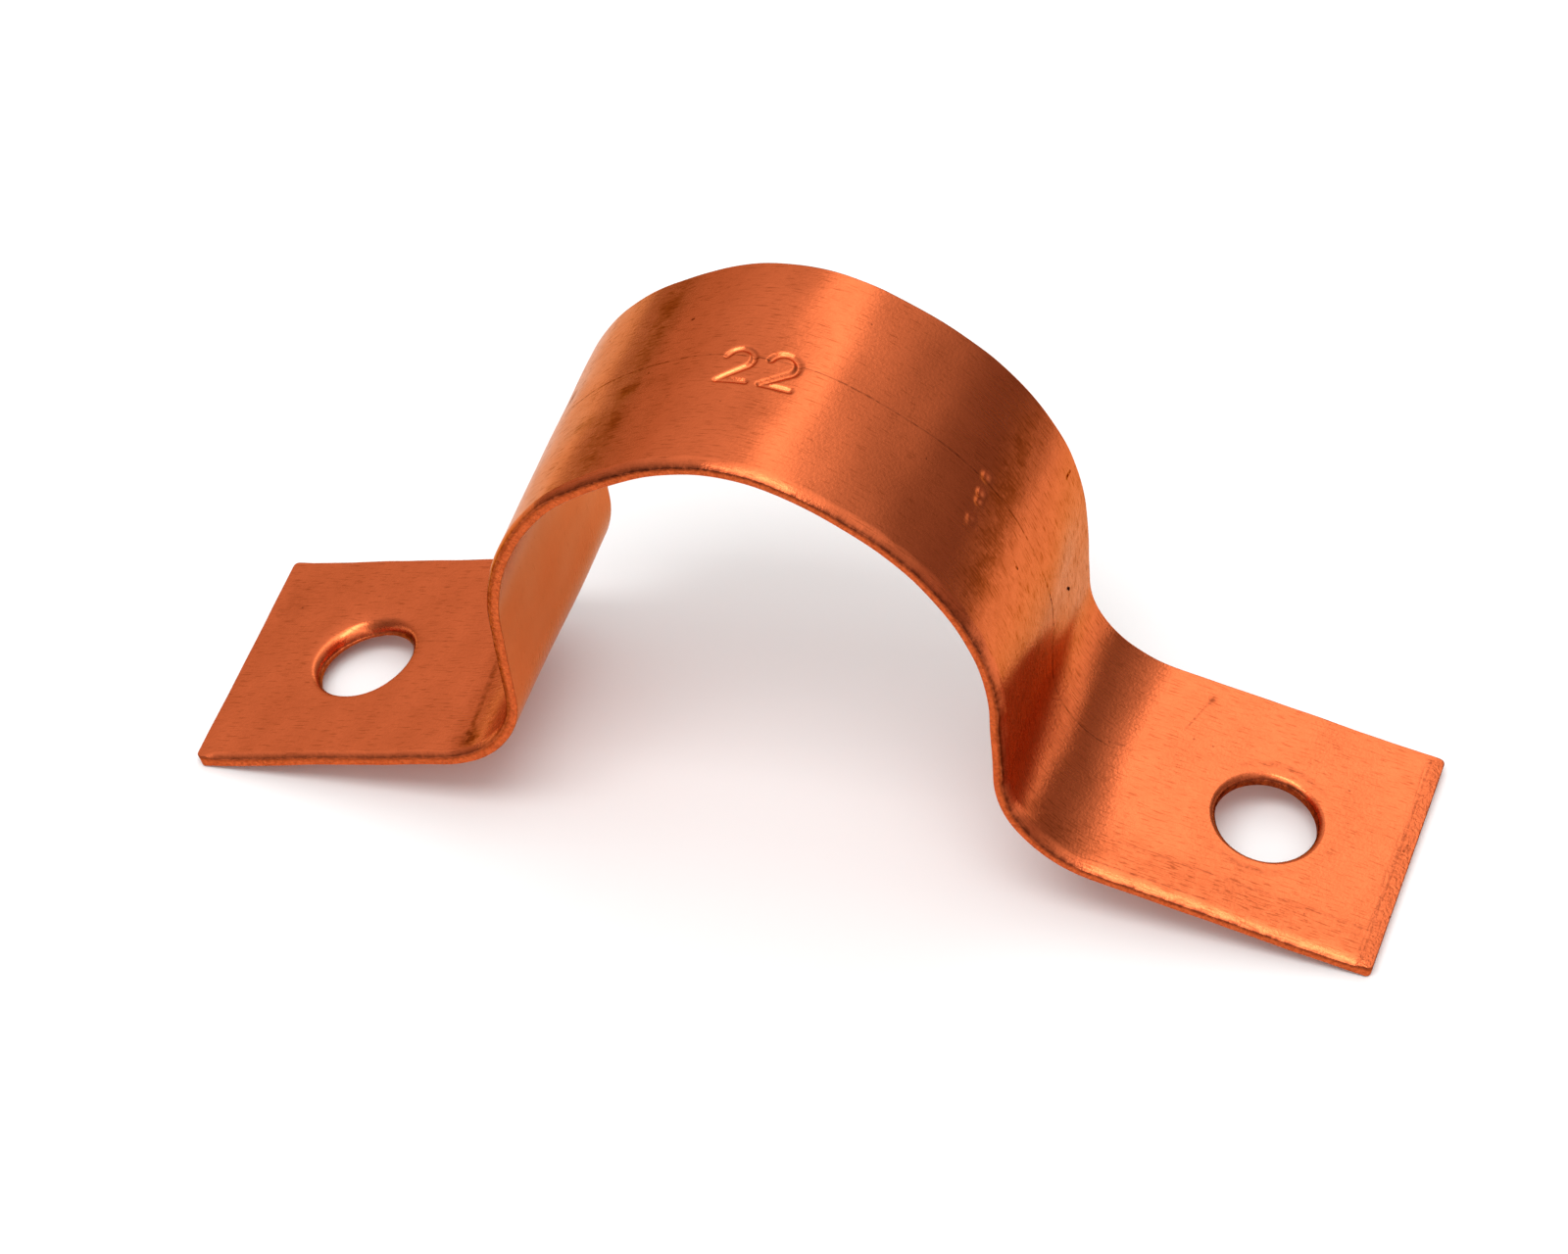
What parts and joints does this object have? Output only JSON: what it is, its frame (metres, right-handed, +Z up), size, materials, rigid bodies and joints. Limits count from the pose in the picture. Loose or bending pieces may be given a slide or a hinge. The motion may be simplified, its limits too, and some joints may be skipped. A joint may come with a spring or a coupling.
{
  "type": "pipe clip",
  "caption": "Folded copper strip that arches over a tube and holds it against a wall or joist with a screw through the sloping foot at each end.",
  "frame": {"origin": "on the ground, midway between the two foot ends that the clip stands on", "axes": "+X from foot to foot, +Y across the strip along the tube, +Z up towards the crown"},
  "size_m": [0.0552, 0.0126, 0.0252],
  "materials": {
    "copper": "bare rolled copper sheet, satin, with fine rolling lines"
  },
  "bodies": {
    "root": {"strap": "copper"}
  },
  "joints": []
}
